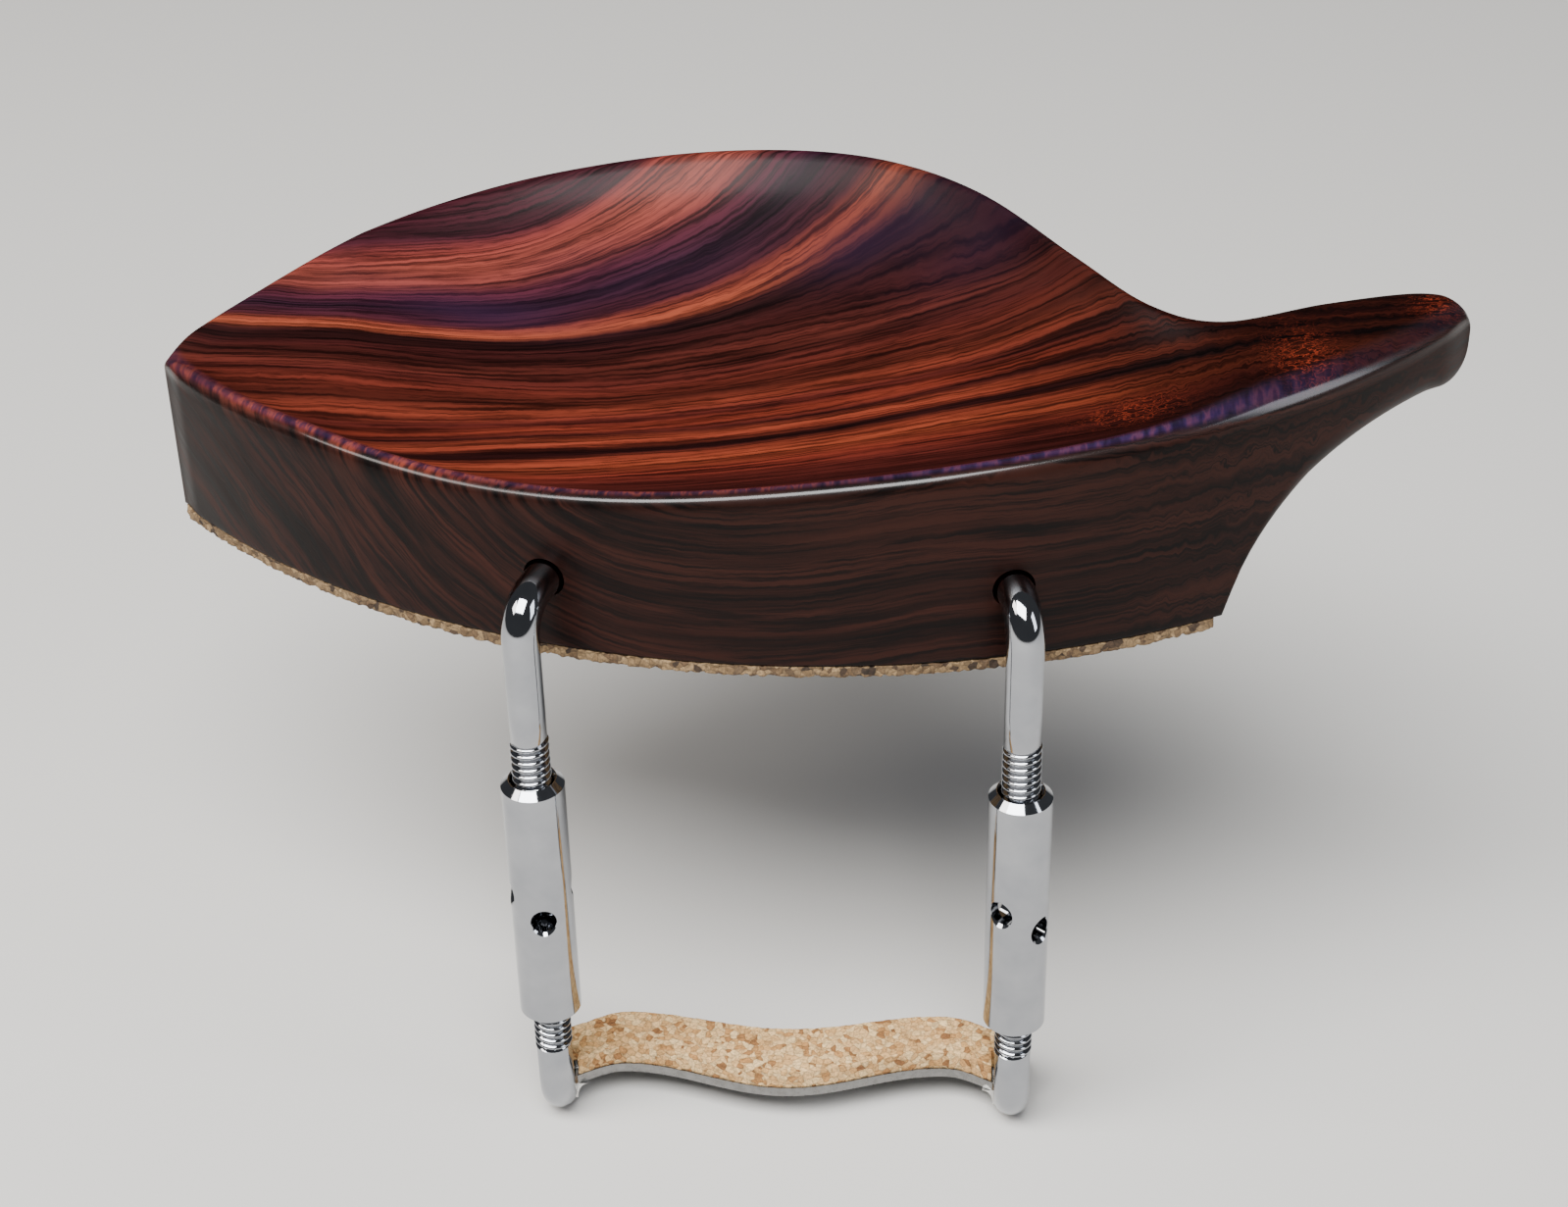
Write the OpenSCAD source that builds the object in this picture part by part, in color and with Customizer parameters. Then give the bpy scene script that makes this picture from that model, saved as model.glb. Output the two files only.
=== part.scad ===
// Violin chin rest with a two-legged edge clamp.
// The clamp runs along X, +Y points in over the instrument's belly and +Z is up.
// The origin lies on the belly seat, the underside of the plate's cork.

/* [Plate outline] */
// Radius of the front wall in plan, which follows the edge of the instrument
front_r = 77.8; // [76:0.1:80]
// Middle of the front wall along X
front_mid_x = 2.4; // [0:0.1:5]
// How far the front wall stands in front of the origin
front_reach = 6.1; // [5.5:0.1:7]
// Depth of the bearing ledge behind the front wall
ledge_w = 14; // [12:0.5:15]
// Right end of the bearing ledge, where the arm takes off
ledge_right = 36.8; // [35:0.1:38]

/* [Plate heights] */
// Rim height above the belly seat, halfway along the front wall
rim_h = 17.7; // [16:0.1:20]
// How much the rim drops to the left and climbs to the right of that
rim_swing = 2.5; // [0:0.1:3]
// Climb of the rim for each millimetre towards the back
rim_climb = 0.092; // [0.05:0.001:0.12]
// Depth of the chin dish below the rim
dish_depth = 9.5; // [6:0.1:11]
// Deepest place of the dish along X
dish_x = -6; // [-12:1:0]
// Width of the soft shoulder between the rim and the dish
shoulder_w = 1.7; // [1:0.1:3]
// Thickness of the cup under the dish
cup_wall = 5.5; // [4.5:0.1:6.5]
// Radius of the arch that lifts the arm over the tailpiece
arch_r = 17.3; // [16:0.1:18]

/* [Corks] */
// Thickness of the cork under the plate
plate_cork_t = 1; // [0.8:0.1:2]
// Thickness of the cork on the foot bar
foot_cork_t = 2; // [1.5:0.1:2.5]

/* [Clamp] */
// Distance between the two legs
leg_spacing = 41; // [40:0.5:42]
// How far the legs stand in front of the origin
leg_setback = 8; // [8:0.1:8.5]
// Diameter of the plain rods
rod_d = 3.15; // [3:0.05:3.2]
// Crest diameter of the rolled threads
thread_d = 3.36; // [3.3:0.02:3.4]
// Inside radius of the bend in each rod
bend_inner_r = 1.4; // [1.2:0.1:1.8]
// Height of the hooks' straight ends above the belly seat
hook_h = 7.7; // [7:0.1:8.5]
// How far a hook reaches into the plate
hook_grip = 11; // [9:0.5:12]
// Foot of the clamp: depth of the legs' bent ends below the belly seat
stub_depth = 46; // [45:0.5:48]

/* [Barrels] */
// Outside diameter of a barrel
barrel_d = 5.44; // [5.4:0.02:5.6]
// Length of a barrel
barrel_len = 25.5; // [25:0.1:26]
// Depth of a barrel's top below the belly seat
barrel_top = 9.1; // [9:0.1:10]
// Width of the chamfer at each end of a barrel
barrel_chamfer = 0.65; // [0.4:0.05:0.8]
// Diameter of the key holes
key_hole_d = 2.2; // [2:0.1:2.3]
// Depth of the upper key hole below a barrel's top
key_hole_upper = 11.7; // [11.6:0.1:12]
// Depth of the lower key hole below a barrel's top
key_hole_lower = 13.7; // [13.6:0.1:14]

/* [Foot bar] */
// Width of the foot bar
bar_w = 5; // [4.5:0.1:5.5]
// Thickness of the foot bar
bar_t = 0.95; // [0.8:0.05:1.2]
// How far the bar's middle stands forward of its two backward bends
bar_wave = 2.5; // [1.5:0.1:3]
// Distance of each backward bend from the middle of the bar
bar_bend_x = 14.5; // [13:0.5:15.5]

/* [Hidden] */

LEFT = -1;
RIGHT = 1;

// Back edge of the plate in plan, from in front of the left end, round the cup and the arm to its tip
back_edge = [
    [-56, 16], [-55.4, 18.6], [-54.6, 20.6], [-52.9, 23.6], [-48.4, 29.2], [-41.6, 36.7], [-33.2, 43.4],
    [-24, 47.9], [-13, 49.8], [-2, 48.5], [8.4, 44.6], [17.2, 37.6], [25.2, 26.4], [31.2, 18.6], [37.2, 16],
    [46, 18.9], [53.4, 20.7], [56.9, 20.2], [58.5, 18.7], [59.2, 15]
];

front_y = front_r - front_reach;
leg_x = leg_spacing / 2;
rod_r = rod_d / 2;
thread_r = thread_d / 2;
bend_r = bend_inner_r + rod_r;
thread_gap = 0.06;
socket_gap = 0.03;
socket_mouth_d = 3.6;
socket_mouth_deep = 1.2;
fine = 96;
round_fn = 48;

// Plate: how it is divided into sections, how far the dish runs each way, and the arch's centre
plate_left = -54.8;
plate_right = 58.4;
top_count = 18;
under_count = 6;
dish_left = 52;
dish_right = 46;
arch_x = 54.5;
arch_drop = -2;
arch_foot = arch_x - sqrt(arch_r * arch_r - pow(plate_cork_t - arch_drop, 2));

// Threads: the stretch that can be seen above and below each barrel, and the rods' ends inside it
thread_start = 5.2;
thread_end = 38.5;
hook_end = 19.6;
leg_end = 25.4;

// The right barrel stands a little lower than the left one, and is turned further round
function barrel_drop(side) = side == RIGHT ? 0.7 : 0;
function key_turn(side) = side == RIGHT ? 50 : 9;

// Foot: the bar lies on flats filed on the legs' bent ends
stub_flat = 0.2;
bar_z = -stub_depth + rod_r - stub_flat;
cork_z = bar_z + bar_t;
stub_end_y = -0.6;
bar_mid_y = -5.1;
bar_half = leg_x + 1;
bar_step = 1;
notch_x = leg_x - rod_r - 0.1;
notch_y = -leg_setback + bend_r + 0.15;
cork_inset = 0.1;
braze_w = 1.3;
braze_h = 1.7;

// ---- plate ----

function tanh_of(t) = 1 - 2 / (exp(2 * t) + 1);

// Smooth curve through the points p, with n steps from each point to the next
function curve(p, n) = [
    for (i = [1 : len(p) - 3]) for (k = [0 : n - 1])
        let (t = k / n, a = p[i - 1], b = p[i], c = p[i + 1], d = p[i + 2])
            b + t * (c - a) / 2 + t * t * (a - 2.5 * b + 2 * c - d / 2)
            + t * t * t * (1.5 * b - 1.5 * c + d / 2 - a / 2)
];
back_curve = curve(back_edge, 6);

// Plan: the front wall, the back edge and the back of the bearing ledge, as distances along Y
function wall_y(x, r) = front_y - sqrt(r * r - pow(x - front_mid_x, 2));
function front(x) = wall_y(x, front_r);
function back(x) = lookup(x, back_curve);
function ledge(x) = min(wall_y(x, front_r - ledge_w), front(x) + 0.9 * (back(x) - front(x)));

// Heights: the rim, the dish below it and the two undersides
function rim_z(x, y) =
    rim_h + rim_swing * tanh_of((x + 6) / 20) + rim_climb * (y + front_reach)
    - 0.012 * max(0, x - 24) - 0.1 * max(0, -x - 40);
function dish_fall(x) =
    let (t = (x - dish_x) / (x < dish_x ? dish_left : dish_right)) dish_depth * pow(max(0, 1 - t * t), 1.2);
function shoulder(d) = 1 - exp(-pow(max(0, d) / shoulder_w, 1.5));
function top_z(x, v) =
    let (w = back(x) - front(x))
        rim_z(x, front(x) + v * w)
        - dish_fall(x) * pow(sin(180 * v), 0.75) * shoulder(v * w) * shoulder((1 - v) * w);
function arch_z(x) =
    let (t = arch_r * arch_r - pow(x - arch_x, 2)) max(plate_cork_t, t > 0 ? arch_drop + sqrt(t) : 0);
function under_z(x, v) = max(arch_z(x), top_z(x, v) - cup_wall);

// Plan positions of the sections across the plate, closer together towards both ends
// and to the foot of the arch
function spread(a, b, n) = [for (i = [0 : n]) a + (b - a) * (1 - cos(180 * i / n)) / 2];
function eased(t) = (t + (1 - cos(180 * t)) / 2) / 2;
sections = concat(
    spread(plate_left, arch_foot, 32),
    [for (x = spread(arch_foot, plate_right, 14)) if (x > arch_foot) x]
);

// One closed section: over the top from front to back, then under the cup and the ledge to the front
function section(x) =
    let (f = front(x), l = ledge(x), b = back(x), step = 0.5 * (b - l) / under_count)
        concat([for (j = [0 : top_count]) let (v = eased(j / top_count)) [x, f + (b - f) * v, top_z(x, v)]],
               [for (j = [under_count : -1 : 0])
                   let (y = l + step + (b - l - step) * j / under_count) [x, y, under_z(x, (y - f) / (b - f))]],
               [for (j = [2 : -1 : 0]) [x, f + (l - f) * j / 2, arch_z(x)]]);

// Closed solid through rings of points that all have the same number of points
module skin(rings) {
    n = len(rings[0]);
    last = len(rings) - 1;
    polyhedron(
        points = [for (ring = rings) for (p = ring) p],
        faces = concat(
            [[for (j = [0 : n - 1]) j]],
            [for (i = [0 : last - 1]) for (j = [0 : n - 1])
                [i * n + j, (i + 1) * n + j, (i + 1) * n + (j + 1) % n]],
            [for (i = [0 : last - 1]) for (j = [0 : n - 1])
                [i * n + j, (i + 1) * n + (j + 1) % n, i * n + (j + 1) % n]],
            [[for (j = [n - 1 : -1 : 0]) last * n + j]]));
}

module hook_frame(side) {
    foot_x = side * leg_x;
    turn = asin((foot_x - front_mid_x) / front_r);
    translate([foot_x, -leg_setback, 0]) rotate([0, 0, turn]) children();
}

// Distance from a hook's upright rod to the front wall, along the hook
function wall_gap(side) =
    norm([side * leg_x - front_mid_x, front_y + leg_setback]) - front_r;

module hook_socket(side) {
    reach = wall_gap(side);
    hook_frame(side) translate([0, 0, hook_h]) rotate([-90, 0, 0]) {
        cylinder(h = reach + hook_grip + 0.3, r = rod_r + socket_gap, $fn = round_fn);
        cylinder(h = reach + socket_mouth_deep, d = socket_mouth_d, $fn = round_fn);
    }
}

module chin_plate() {
    color("#4a1a10") difference() {
        skin([for (x = sections) section(x)]);
        for (side = [LEFT, RIGHT]) hook_socket(side);
    }
}

module plate_cork() {
    xs = [for (x = sections) if (x < ledge_right - 0.5) x];
    color("#b98a5c") linear_extrude(plate_cork_t) intersection() {
        translate([front_mid_x, front_y]) circle(front_r, $fn = fine * 3);
        polygon(concat([[plate_left, front(plate_left) - 9], [0, -30], [ledge_right, -20]],
                       [[ledge_right, ledge(ledge_right)]], [for (i = [len(xs) - 1 : -1 : 0]) [xs[i], ledge(xs[i])]]));
    }
}

// ---- hooks, barrels and legs ----

// Quarter bend from a rod along Z at y = 0 to one along +Y: 90 turns it over the top, 180 underneath
module elbow(from) {
    translate([0, bend_r, 0]) rotate([90, 0, 90]) rotate([0, 0, from])
        rotate_extrude(angle = 90, $fn = fine) translate([bend_r, 0]) circle(rod_r, $fn = round_fn);
}

module threaded_rod(top, bottom) {
    translate([0, 0, bottom]) cylinder(h = top - bottom, r = thread_r, $fn = round_fn);
}

module hook(side) {
    reach = wall_gap(side);
    color("#c9ccd2") hook_frame(side) {
        translate([0, 0, -thread_start]) cylinder(h = thread_start + hook_h - bend_r, r = rod_r, $fn = round_fn);
        translate([0, 0, hook_h - bend_r]) elbow(90);
        translate([0, bend_r, hook_h]) rotate([-90, 0, 0])
            cylinder(h = reach + hook_grip - bend_r, r = rod_r, $fn = round_fn);
        threaded_rod(-thread_start, -hook_end);
    }
}

module barrel_shape() {
    outer = barrel_d / 2;
    rotate_extrude($fn = fine) difference() {
        polygon([[0, 0], [outer - barrel_chamfer, 0], [outer, barrel_chamfer],
                 [outer, barrel_len - barrel_chamfer], [outer - barrel_chamfer, barrel_len],
                 [0, barrel_len]]);
        translate([0, -1]) square([thread_r + thread_gap, barrel_len + 2]);
    }
}

module key_hole(depth, turn) {
    sink = 0.35;
    rim = barrel_d / 2;
    translate([0, 0, barrel_len - depth]) rotate([0, 0, turn]) rotate([90, 0, 0]) {
        cylinder(h = barrel_d + 2, d = key_hole_d, center = true, $fn = round_fn);
        for (end = [0, 180]) rotate([0, end, 0]) translate([0, 0, rim - sink])
            cylinder(h = sink + 0.3, r1 = key_hole_d / 2, r2 = key_hole_d / 2 + sink + 0.3, $fn = round_fn);
    }
}

module barrel(side) {
    color("#c9ccd2")
        translate([side * leg_x, -leg_setback, -barrel_top - barrel_drop(side) - barrel_len]) difference() {
            barrel_shape();
            key_hole(key_hole_lower, key_turn(side));
            key_hole(key_hole_upper, key_turn(side) - 85);
        }
}

module leg_shape(side) {
    bend_z = -stub_depth + bend_r;
    stub_len = leg_setback + stub_end_y - bend_r;
    translate([side * leg_x, -leg_setback, 0]) {
        threaded_rod(-leg_end, -thread_end);
        translate([0, 0, bend_z]) cylinder(h = -thread_end - bend_z, r = rod_r, $fn = round_fn);
        translate([0, 0, bend_z]) elbow(180);
        translate([0, bend_r, -stub_depth]) rotate([-90, 0, 0]) cylinder(h = stub_len, r = rod_r, $fn = round_fn);
    }
}

module leg(side) {
    color("#c9ccd2") difference() {
        leg_shape(side);
        translate([side * leg_x - rod_r - 1, notch_y - 0.05, bar_z]) cube([rod_d + 2, 10, 2]);
    }
}

// ---- foot ----

// Centre line of the bar in plan: its ends and its middle stand forward of two backward bends
function bar_phase(d) = d < bar_bend_x ? 180 * d / bar_bend_x : min(360, 180 + 26 * (d - bar_bend_x));
function bar_line(x) = bar_mid_y + bar_wave * (1 - cos(bar_phase(abs(x)))) / 2;
// The bar is widest in the middle
function bar_width(x) = bar_w + 0.9 * pow(cos(min(90, 90 * abs(x) / bar_bend_x)), 2);

module bar_outline(trim) {
    xs = [for (x = [-bar_half + trim : bar_step : bar_half]) x];
    difference() {
        polygon(concat([for (x = xs) [x, bar_line(x) - bar_width(x) / 2 + trim]],
                       [for (i = [len(xs) - 1 : -1 : 0]) [xs[i], bar_line(xs[i]) + bar_width(xs[i]) / 2 - trim]]));
        for (side = [LEFT, RIGHT]) translate([side * (notch_x - trim + 5), notch_y + trim - 5])
            square(10, center = true);
    }
}

module foot_bar() {
    color("#9a9da3") translate([0, 0, bar_z]) linear_extrude(bar_t) bar_outline(0);
}

module foot_cork() {
    color("#d9a877") translate([0, 0, cork_z]) linear_extrude(foot_cork_t) bar_outline(cork_inset);
}

// Solder between the leg's bend and the underside of the bar
module braze(side) {
    front = -leg_setback + 1.2;
    color("#b5b7bb") difference() {
        translate([side * (notch_x + 0.4), front + 3.2, bar_z]) rotate([90, 0, 0]) linear_extrude(3.2)
            polygon([[0, 0], [-side * braze_w, 0], [-side * 0.4, -braze_h], [0, -braze_h]]);
        leg_shape(side);
    }
}

chin_plate();
plate_cork();
hook(LEFT);  // hook_left
hook(RIGHT);  // hook_right
barrel(LEFT);  // barrel_left
barrel(RIGHT);  // barrel_right
leg(LEFT);  // leg_left
leg(RIGHT);  // leg_right
foot_bar();
foot_cork();
braze(LEFT);  // braze_left
braze(RIGHT);  // braze_right
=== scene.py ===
# %% [markdown]
# # A violin chin rest
# A chin rest is a carved wooden plate that clamps to the edge of a violin. Two rods
# hook into its front wall, two threaded barrels draw a foot bar up against the back of
# the instrument, and cork keeps wood and metal off the varnish. This lesson dresses a
# finished CAD frame: each piece is modelled again with its real detail, in the same
# place, and rides on the CAD body that it belongs to.

# %% Load the frame
import math

import bmesh
import bpy
from mathutils import Matrix, Vector, noise


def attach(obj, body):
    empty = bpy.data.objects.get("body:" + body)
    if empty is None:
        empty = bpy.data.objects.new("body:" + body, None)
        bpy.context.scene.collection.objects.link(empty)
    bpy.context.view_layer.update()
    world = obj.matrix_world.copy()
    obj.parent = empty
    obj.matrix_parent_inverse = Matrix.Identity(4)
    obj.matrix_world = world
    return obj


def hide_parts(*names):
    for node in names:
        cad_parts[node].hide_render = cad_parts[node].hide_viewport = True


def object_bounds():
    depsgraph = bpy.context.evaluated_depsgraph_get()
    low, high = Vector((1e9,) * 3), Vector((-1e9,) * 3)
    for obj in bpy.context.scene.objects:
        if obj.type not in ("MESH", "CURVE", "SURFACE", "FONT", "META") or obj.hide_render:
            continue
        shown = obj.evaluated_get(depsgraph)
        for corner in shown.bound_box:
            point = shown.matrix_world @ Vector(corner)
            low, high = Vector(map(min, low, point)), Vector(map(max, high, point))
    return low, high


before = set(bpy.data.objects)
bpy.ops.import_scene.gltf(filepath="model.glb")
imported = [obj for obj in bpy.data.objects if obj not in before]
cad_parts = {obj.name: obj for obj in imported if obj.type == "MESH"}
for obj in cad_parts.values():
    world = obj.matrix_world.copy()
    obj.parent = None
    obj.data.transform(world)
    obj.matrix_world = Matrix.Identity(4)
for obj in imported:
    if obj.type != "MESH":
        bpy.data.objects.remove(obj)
cad_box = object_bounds()
print("CAD nodes:", sorted(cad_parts))

# %% [markdown]
# ## Camera, floor and light
# The camera looks slightly down at the front wall, a little right of the middle, as one
# looks at a chin rest that stands on a bench. Its axes come from three angles, which is
# easier to reason about than a matrix. The floor touches the lowest point of the clamp.

# %% Camera
YAW, PITCH, ROLL = (math.radians(a) for a in (-3.3677, 33.0023, 1.3264))
CAMERA_AT = Vector((0.012299, -0.199165, 0.132907))
SENSOR = 36.0
LENS = 65.29

ahead = Vector((math.sin(YAW) * math.cos(PITCH), math.cos(YAW) * math.cos(PITCH), -math.sin(PITCH)))
level_right = Vector((math.cos(YAW), -math.sin(YAW), 0))
level_down = ahead.cross(level_right)
right = level_right * math.cos(ROLL) + level_down * math.sin(ROLL)
up = level_right * math.sin(ROLL) - level_down * math.cos(ROLL)

camera = bpy.data.objects.new("Camera", bpy.data.cameras.new("Camera"))
camera.data.sensor_width = SENSOR
camera.data.lens = LENS
camera.data.clip_start = 0.01
camera.matrix_world = Matrix.Translation(CAMERA_AT) @ Matrix((right, up, -ahead)).transposed().to_4x4()
bpy.context.collection.objects.link(camera)
bpy.context.scene.camera = camera
print("camera", [round(v, 3) for v in camera.location])

# %% [markdown]
# ## One way to add a shader node
# Every finish below is a small graph. One helper makes a node, sets it up, and fills its
# inputs with numbers, colours or other nodes' outputs, so a graph reads like a recipe.
# Colours are written as the hex values one would pick by eye, and turned to linear here.


# %% Colours and nodes
def linear(code):
    """The linear RGBA of an sRGB hex colour."""
    parts = [int(code[i:i + 2], 16) / 255 for i in (1, 3, 5)]
    return tuple(p / 12.92 if p <= 0.04045 else ((p + 0.055) / 1.055) ** 2.4 for p in parts) + (1.0,)


def add(tree, kind, inputs=None, stops=None, **settings):
    """A new node of one kind. inputs maps socket names or numbers to values, hex colours or sockets."""
    made = tree.nodes.new("ShaderNode" + kind)
    for name, value in settings.items():
        setattr(made, name, value)
    for name, value in (inputs or {}).items():
        if isinstance(value, bpy.types.NodeSocket):
            tree.links.new(value, made.inputs[name])
        else:
            made.inputs[name].default_value = linear(value) if isinstance(value, str) else value
    for i, (place, code) in enumerate(stops or ()):
        points = made.color_ramp.elements
        point = points[i] if i < 2 else points.new(place)
        point.position = place
        point.color = linear(code) if isinstance(code, str) else (code, code, code, 1)
    return made


def new_material(name):
    """An empty material and its node tree."""
    made = bpy.data.materials.new(name)
    made.use_nodes = True
    made.node_tree.nodes.clear()
    return made, made.node_tree


MIX = {"data_type": "RGBA"}
FACTOR, A, B, MIXED = 0, 6, 7, 2
print("linear mid grey", [round(v, 3) for v in linear("#808080")])

# %% Floor and lights
FLOOR_GAP = 0.0001
floor_mesh = bmesh.new()
bmesh.ops.create_grid(floor_mesh, x_segments=1, y_segments=1, size=1.5)
bmesh.ops.translate(floor_mesh, verts=floor_mesh.verts, vec=(0, 0, cad_box[0].z - FLOOR_GAP))
floor = bpy.data.objects.new("Floor", bpy.data.meshes.new("Floor"))
floor_mesh.to_mesh(floor.data)
floor_mesh.free()
bpy.context.collection.objects.link(floor)

paper, tree = new_material("matt_backdrop_paper")
shader = add(tree, "BsdfPrincipled", {"Base Color": "#CFCDC9", "Roughness": 0.9})
add(tree, "OutputMaterial", {"Surface": shader.outputs[0]})
floor.data.materials.append(paper)

LIGHTS = (
    # name, place and target in metres, width, depth, watts, colour
    ("Strip", (-0.12, -0.32, 0.60), (-0.01, 0.0, 0), 0.60, 0.36, 13.0, "#FFFFFF"),
    ("Key", (-0.54, -0.20, 0.54), (0, 0, 0), 0.30, 0.26, 2.4, "#FFF8F0"),
    ("Fill", (0.62, -0.25, 0.30), (0, 0, -0.01), 0.22, 0.40, 1.6, "#F2F6FF"),
)
for name, place, target, width, depth, watts, colour in LIGHTS:
    lamp = bpy.data.lights.new(name, "AREA")
    lamp.shape = "RECTANGLE"
    lamp.size, lamp.size_y = width, depth
    lamp.energy = watts
    lamp.color = linear(colour)[:3]
    holder = bpy.data.objects.new(name, lamp)
    facing = (Vector(target) - Vector(place)).to_track_quat("-Z", "Y")
    holder.matrix_world = Matrix.LocRotScale(Vector(place), facing, None)
    bpy.context.collection.objects.link(holder)

world = bpy.data.worlds.new("Studio")
world.use_nodes = True
world.node_tree.nodes["Background"].inputs["Color"].default_value = linear("#B9BCC2")
world.node_tree.nodes["Background"].inputs["Strength"].default_value = 0.16
bpy.context.scene.world = world
print(len(LIGHTS), "soft lights")

# %% [markdown]
# ## From a bmesh to a finished piece
# Lengths are thought of in millimetres and the scene is in metres, so the last step of
# each piece is one scale. The same step points the faces outwards, keeps edges sharper
# than a given angle crisp, and ties the piece to its body and its CAD node.


# %% Finish a piece
def finished(name, bm, body, nodes, material, sharp=35):
    """Turns a closed bmesh in millimetres into a piece that rides on a body."""
    bmesh.ops.recalc_face_normals(bm, faces=bm.faces)
    bmesh.ops.scale(bm, verts=bm.verts, vec=(0.001, 0.001, 0.001))
    for face in bm.faces:
        face.smooth = True
    for edge in bm.edges:
        edge.smooth = edge.calc_face_angle(0) < math.radians(sharp)
    made = bpy.data.objects.new(name, bpy.data.meshes.new(name))
    bm.to_mesh(made.data)
    open_edges = sum(1 for edge in bm.edges if len(edge.link_faces) != 2)
    print(f"{name}: {len(bm.faces)} faces, {open_edges} open edges")
    bm.free()
    bpy.context.collection.objects.link(made)
    made.data.materials.append(material)
    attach(made, body)
    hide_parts(*nodes)
    return made


# %% [markdown]
# ## Rolling a sheet into a skin
# The plate has a different outline at every section, so neither a lathe nor a plain
# extrusion makes it. A flat grid does: its columns become sections along X, and its rows
# are wrapped round each section until the last row meets the first. Merging doubles
# closes the seam, and the two ends are filled. The plate's cork is rolled the same way.


# %% Rounded sections and rolled sheets
def rounded(sides, corners, steps_in_corner=6):
    """Points round a closed section. sides are (function of 0 to 1, length, steps); corners are the
    radii where each side meets the next. A corner is a short curve that leaves both sides smoothly."""
    count = len(sides)
    radii = [min(corners[i], 0.42 * sides[i][1], 0.42 * sides[(i + 1) % count][1]) for i in range(count)]
    ring = []
    for i, (side, length, steps) in enumerate(sides):
        start, end = radii[i - 1] / max(length, 1e-6), 1 - radii[i] / max(length, 1e-6)
        for k in range(steps):
            even = k / (steps - 1)
            t = start + (end - start) * (even + (1 - math.cos(math.pi * even)) / 2) / 2
            ring.append(Vector(side(t)))
        after, after_length = sides[(i + 1) % count][:2]
        a, corner, b = Vector(side(end)), Vector(side(1)), Vector(after(radii[i] / max(after_length, 1e-6)))
        for k in range(1, steps_in_corner):
            t = k / steps_in_corner
            ring.append(a * (1 - t) ** 2 + corner * 2 * t * (1 - t) + b * t * t)
    return ring


def rolled(rings):
    """A closed skin through rings of 3-D points, from one grid that is rolled up."""
    count, around = len(rings) - 1, len(rings[0])
    bm = bmesh.new()
    bmesh.ops.create_grid(bm, x_segments=count, y_segments=around, size=0.5)
    for v in bm.verts:
        column, row = round((v.co.x + 0.5) * count), round((v.co.y + 0.5) * around)
        v.co = rings[column][row % around]
    bmesh.ops.remove_doubles(bm, verts=bm.verts, dist=0.0005)
    open_edges = [edge for edge in bm.edges if edge.is_boundary]
    bmesh.ops.holes_fill(bm, edges=open_edges, sides=0)
    return bm


def between(a, b):
    """A straight side from a to b."""
    return lambda t: (a[0] + (b[0] - a[0]) * t, a[1] + (b[1] - a[1]) * t)


# %% [markdown]
# ## The plate's outline and heights
# The front wall follows the edge of the violin, an arc of 78 mm radius. The back edge is
# a free curve round the cup and out along the arm. The rim climbs from left to right,
# the dish falls away inside it, and an arch lifts the arm over the tailpiece.

# %% Outline and heights
FRONT_R, FRONT_MID, FRONT_Y = 77.8, 2.4, 71.7
LEDGE_W, CUP_WALL, SHOULDER_W = 14, 5.5, 1.7
PLATE_LEFT, PLATE_RIGHT = -54.8, 58.4
ARCH_R, ARCH_X, ARCH_DROP, CORK_T = 17.3, 54.5, -2, 1.0
BACK_EDGE = (
    (-56, 16), (-55.4, 18.6), (-54.6, 20.6), (-52.9, 23.6), (-48.4, 29.2), (-41.6, 36.7), (-33.2, 43.4),
    (-24, 47.9), (-13, 49.8), (-2, 48.5), (8.4, 44.6), (17.2, 37.6), (25.2, 26.4), (31.2, 18.6),
    (37.2, 16), (46, 18.9), (53.4, 20.7), (56.9, 20.2), (58.5, 18.7), (59.2, 15),
)


def through(a, b, c, d, t):
    """A smooth curve from b to c that also heeds a before it and d after it."""
    square = t * t * (a - 2.5 * b + 2 * c - d / 2)
    return b + t * (c - a) / 2 + square + t ** 3 * (1.5 * b - 1.5 * c + d / 2 - a / 2)


STEPS = 12
back_points = [
    through(*(Vector(p) for p in BACK_EDGE[i - 1:i + 3]), k / STEPS)
    for i in range(1, len(BACK_EDGE) - 2) for k in range(STEPS)
]


def wall_y(x, radius):
    return FRONT_Y - math.sqrt(radius ** 2 - (x - FRONT_MID) ** 2)


def front(x):
    return wall_y(x, FRONT_R)


def back(x):
    for a, b in zip(back_points, back_points[1:]):
        if b.x >= x:
            return a.y + (b.y - a.y) * (x - a.x) / (b.x - a.x)
    return back_points[-1].y


def ledge(x):
    return min(wall_y(x, FRONT_R - LEDGE_W), front(x) + 0.9 * (back(x) - front(x)))


def rim_z(x, y):
    swing = 2.5 * math.tanh((x + 6) / 20)
    return 17.7 + swing + 0.092 * (y + 6.1) - 0.012 * max(0, x - 24) - 0.1 * max(0, -x - 40)


def shoulder(d):
    """How much of the dish's depth is reached at a distance from its edge."""
    return 1 - math.exp(-((max(0, d) / SHOULDER_W) ** 1.5))


def top_z(x, v):
    reach = (x + 6) / (52 if x < -6 else 46)
    fall = 9.5 * max(0, 1 - reach * reach) ** 1.2
    across_dish = max(0.0, math.sin(math.pi * min(max(v, 0), 1)))
    width = back(x) - front(x)
    fall *= shoulder(v * width) * shoulder((1 - v) * width)
    return rim_z(x, front(x) + v * width) - fall * across_dish ** 0.75


def arch_z(x):
    inside = ARCH_R ** 2 - (x - ARCH_X) ** 2
    return max(CORK_T, ARCH_DROP + math.sqrt(inside) if inside > 0 else 0)


def under_z(x, v):
    return max(arch_z(x), top_z(x, v) - CUP_WALL)


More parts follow.
